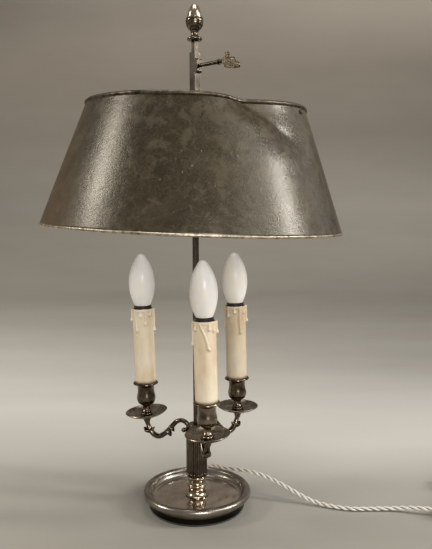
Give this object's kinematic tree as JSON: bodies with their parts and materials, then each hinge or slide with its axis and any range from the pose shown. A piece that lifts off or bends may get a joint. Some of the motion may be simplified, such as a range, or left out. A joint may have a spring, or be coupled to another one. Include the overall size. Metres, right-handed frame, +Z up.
{
  "type": "bouillotte lamp",
  "caption": "Bouillotte table lamp: dished base, fluted column, scroll candle arms and a tapered metal shade that slides on a square stem.",
  "frame": {"origin": "on the table under the centre of the column, at the underside of the base's felt", "axes": "+Z up along the column and stem, -Y towards the viewer of the picture, +X to the viewer's right"},
  "size_m": [0.6714, 0.389, 0.656],
  "materials": {
    "brass": "polished, slightly tarnished",
    "bulb_cap": "rolled thread",
    "bush": "moulded",
    "candle": "cream wax-like coating",
    "cast_iron": "rough cast",
    "cord_cloth": "twisted, cloth-covered",
    "felt": "felt",
    "gilt_brass": "polished, slightly tarnished",
    "holder": "moulded",
    "opal_glass": "opal white",
    "plug_pin": "bright",
    "shade_gilding": "worn gilding",
    "shade_paint": "aged dark japanned paint",
    "silver_plate": "worn silver plate",
    "steel": "zinc-plated",
    "switch_plastic": "moulded",
    "wire": "insulated wire"
  },
  "bodies": {
    "lamp": {"arm_front": "gilt_brass", "arm_left": "gilt_brass", "arm_right": "gilt_brass", "base_dish": "silver_plate", "base_felt": "felt", "base_weight": "cast_iron", "candle_sleeve_front": "candle", "candle_sleeve_left": "candle", "candle_sleeve_right": "candle", "candle_tube_front": "brass", "candle_tube_left": "brass", "candle_tube_right": "brass", "column_foot": "gilt_brass", "column_shaft": "gilt_brass", "cord": "cord_cloth", "cord_bush": "bush", "cord_coil": "cord_cloth", "cup_front": "gilt_brass", "cup_left": "gilt_brass", "cup_nut_front": "brass", "cup_nut_left": "brass", "cup_nut_right": "brass", "cup_right": "gilt_brass", "drip_pan_front": "gilt_brass", "drip_pan_left": "gilt_brass", "drip_pan_right": "gilt_brass", "hub": "gilt_brass", "lampholder_front": "holder", "lampholder_left": "holder", "lampholder_right": "holder", "plug_body": "switch_plastic", "plug_pins": "plug_pin", "stem": "brass", "switch_lower_case": "switch_plastic", "switch_upper_case": "switch_plastic", "tie_nut": "steel", "tie_tube": "steel", "tie_washer": "steel", "wiring": "wire"},
    "shade": {"shade_carrier": "brass", "spider": "brass", "shade_screws": "brass", "shade_nuts": "brass", "shade_wall": "shade_paint", "shade_top_bead": "shade_gilding", "shade_bottom_bead": "shade_gilding"},
    "key": {"shade_key": "brass"},
    "finial": {"finial_cup": "gilt_brass", "finial_nut": "gilt_brass"},
    "bulb_front": {"bulb_cap_front": "bulb_cap", "bulb_glass_front": "opal_glass"},
    "bulb_right": {"bulb_cap_right": "bulb_cap", "bulb_glass_right": "opal_glass"},
    "bulb_left": {"bulb_cap_left": "bulb_cap", "bulb_glass_left": "opal_glass"},
    "rocker": {"switch_rocker": "switch_plastic"}
  },
  "joints": [
    {"name": "shade_slide", "type": "slide", "parent": "lamp", "child": "shade", "axis": [0, 0, 1], "range_m": [-0.165, 0.014]},
    {"name": "key_turn", "type": "hinge", "parent": "shade", "child": "key", "pos_m": [0, 0, 0.58], "axis": [0.7071, -0.7071, 0], "continuous": true},
    {"name": "finial_turn", "type": "hinge", "parent": "lamp", "child": "finial", "pos_m": [0, 0, 0.62], "axis": [0, 0, 1], "continuous": true},
    {"name": "bulb_front_turn", "type": "hinge", "parent": "lamp", "child": "bulb_front", "pos_m": [0.01374, -0.07068, 0.1169], "axis": [-0.0244, 0, 0.9997], "continuous": true},
    {"name": "bulb_right_turn", "type": "hinge", "parent": "lamp", "child": "bulb_right", "pos_m": [0.05788, 0.04283, 0.1169], "axis": [-0.0244, 0, 0.9997], "continuous": true},
    {"name": "bulb_left_turn", "type": "hinge", "parent": "lamp", "child": "bulb_left", "pos_m": [-0.06808, 0.02344, 0.1169], "axis": [-0.0244, 0, 0.9997], "continuous": true},
    {"name": "switch_rock", "type": "hinge", "parent": "lamp", "child": "rocker", "pos_m": [0.34276, -0.05483, 0.0122], "axis": [0.2941, 0.9558, 0], "range_deg": [-18, 0]}
  ]
}
